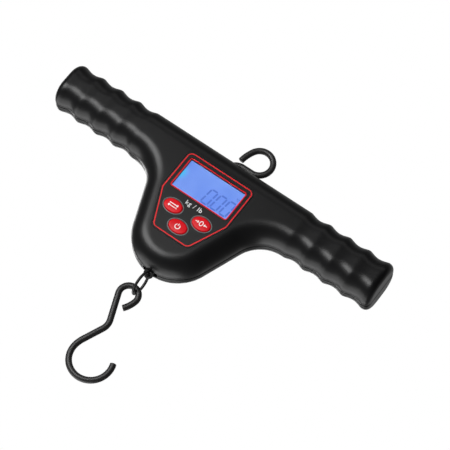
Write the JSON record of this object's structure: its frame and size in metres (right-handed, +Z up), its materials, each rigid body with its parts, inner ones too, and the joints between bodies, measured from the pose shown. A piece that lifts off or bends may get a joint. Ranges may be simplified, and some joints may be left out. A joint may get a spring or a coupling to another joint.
{
  "type": "digital fish scale",
  "caption": "Hand-held digital hanging scale with a T handle, finger grips, a lit display, push buttons, a top hook and an S-shaped load hook on a ring.",
  "frame": {"origin": "crossing of the handle's axis and the load line, in the middle of the housing's depth", "axes": "+Z up along the load line, +X along the handle to the right of someone reading the display, -Y out of the display"},
  "size_m": [0.265, 0.0329, 0.2095],
  "materials": {
    "housing_black": "satin moulded, fine texture",
    "panel_black": "satin printed face",
    "lens_clear": "clear moulded",
    "display_glass": "lit liquid crystal glass",
    "frame_white": "moulded",
    "backlight": "milky light guide",
    "strip_rubber": "striped elastomer",
    "board_green": "solder mask",
    "switch_grey": "moulded",
    "chip_black": "moulded",
    "screw_steel": "zinc plated",
    "cell_alloy": "milled",
    "gauge_film": "foil on film",
    "plate_steel": "stamped",
    "spacer_nylon": "turned",
    "hook_black": "black coated wire, semi gloss",
    "battery_sleeve": "printed sleeve",
    "contact_plated": "nickel plated",
    "wire_sleeve": "insulation",
    "button_red": "glossy moulded",
    "print_red": "printed line",
    "print_white": "printed legend"
  },
  "bodies": {
    "housing": {"front_shell": "housing_black", "rear_shell": "housing_black", "display_lens": "lens_clear", "load_eye": "hook_black", "lcd_glass": "display_glass", "backlight_panel": "backlight", "lcd_connector": "strip_rubber", "lcd_frame": "frame_white", "main_board": "board_green", "tact_switches": "switch_grey", "board_chips": "chip_black", "board_screws": "screw_steel", "strain_gauges": "gauge_film", "hanger_plates": "plate_steel", "pin_spacers": "spacer_nylon", "upper_cell_screws": "screw_steel", "lower_cell_screws": "screw_steel", "load_cell": "cell_alloy", "batteries": "battery_sleeve", "battery_springs": "contact_plated", "battery_contacts": "contact_plated", "cell_wires": "wire_sleeve", "battery_wires": "wire_sleeve", "housing_screws": "screw_steel", "cross_pin": "plate_steel", "face_panel": "panel_black"},
    "top_hook": {"top_hook": "hook_black"},
    "link_ring": {"link_ring": "hook_black"},
    "s_hook": {"s_hook": "hook_black"},
    "unit_button": {"unit_button": "button_red"},
    "tare_button": {"tare_button": "button_red"},
    "power_button": {"power_button": "button_red"},
    "battery_door": {"battery_door": "housing_black"}
  },
  "joints": [
    {"name": "top_hook_swing", "type": "hinge", "parent": "housing", "child": "top_hook", "pos_m": [0, 0, 0.008], "axis": [0, 1, 0], "range_deg": [-45, 0]},
    {"name": "ring_swing", "type": "hinge", "parent": "housing", "child": "link_ring", "pos_m": [0, 0, -0.0813], "axis": [0, 1, 0], "range_deg": [-40, 40]},
    {"name": "hook_swing", "type": "hinge", "parent": "link_ring", "child": "s_hook", "pos_m": [0, 0, -0.09483], "axis": [1, 0, 0], "range_deg": [-40, 40]},
    {"name": "unit_press", "type": "slide", "parent": "housing", "child": "unit_button", "axis": [0, 1, 0], "range_m": [0, 0.0007], "stiffness_N_per_m": 2000, "springref_m": -0.0003},
    {"name": "tare_press", "type": "slide", "parent": "housing", "child": "tare_button", "axis": [0, 1, 0], "range_m": [0, 0.0007], "stiffness_N_per_m": 2000, "springref_m": -0.0003},
    {"name": "power_press", "type": "slide", "parent": "housing", "child": "power_button", "axis": [0, 1, 0], "range_m": [0, 0.0007], "stiffness_N_per_m": 2000, "springref_m": -0.0003},
    {"name": "door_lift", "type": "slide", "parent": "housing", "child": "battery_door", "axis": [0, 1, 0], "range_m": [0, 0.02]}
  ]
}
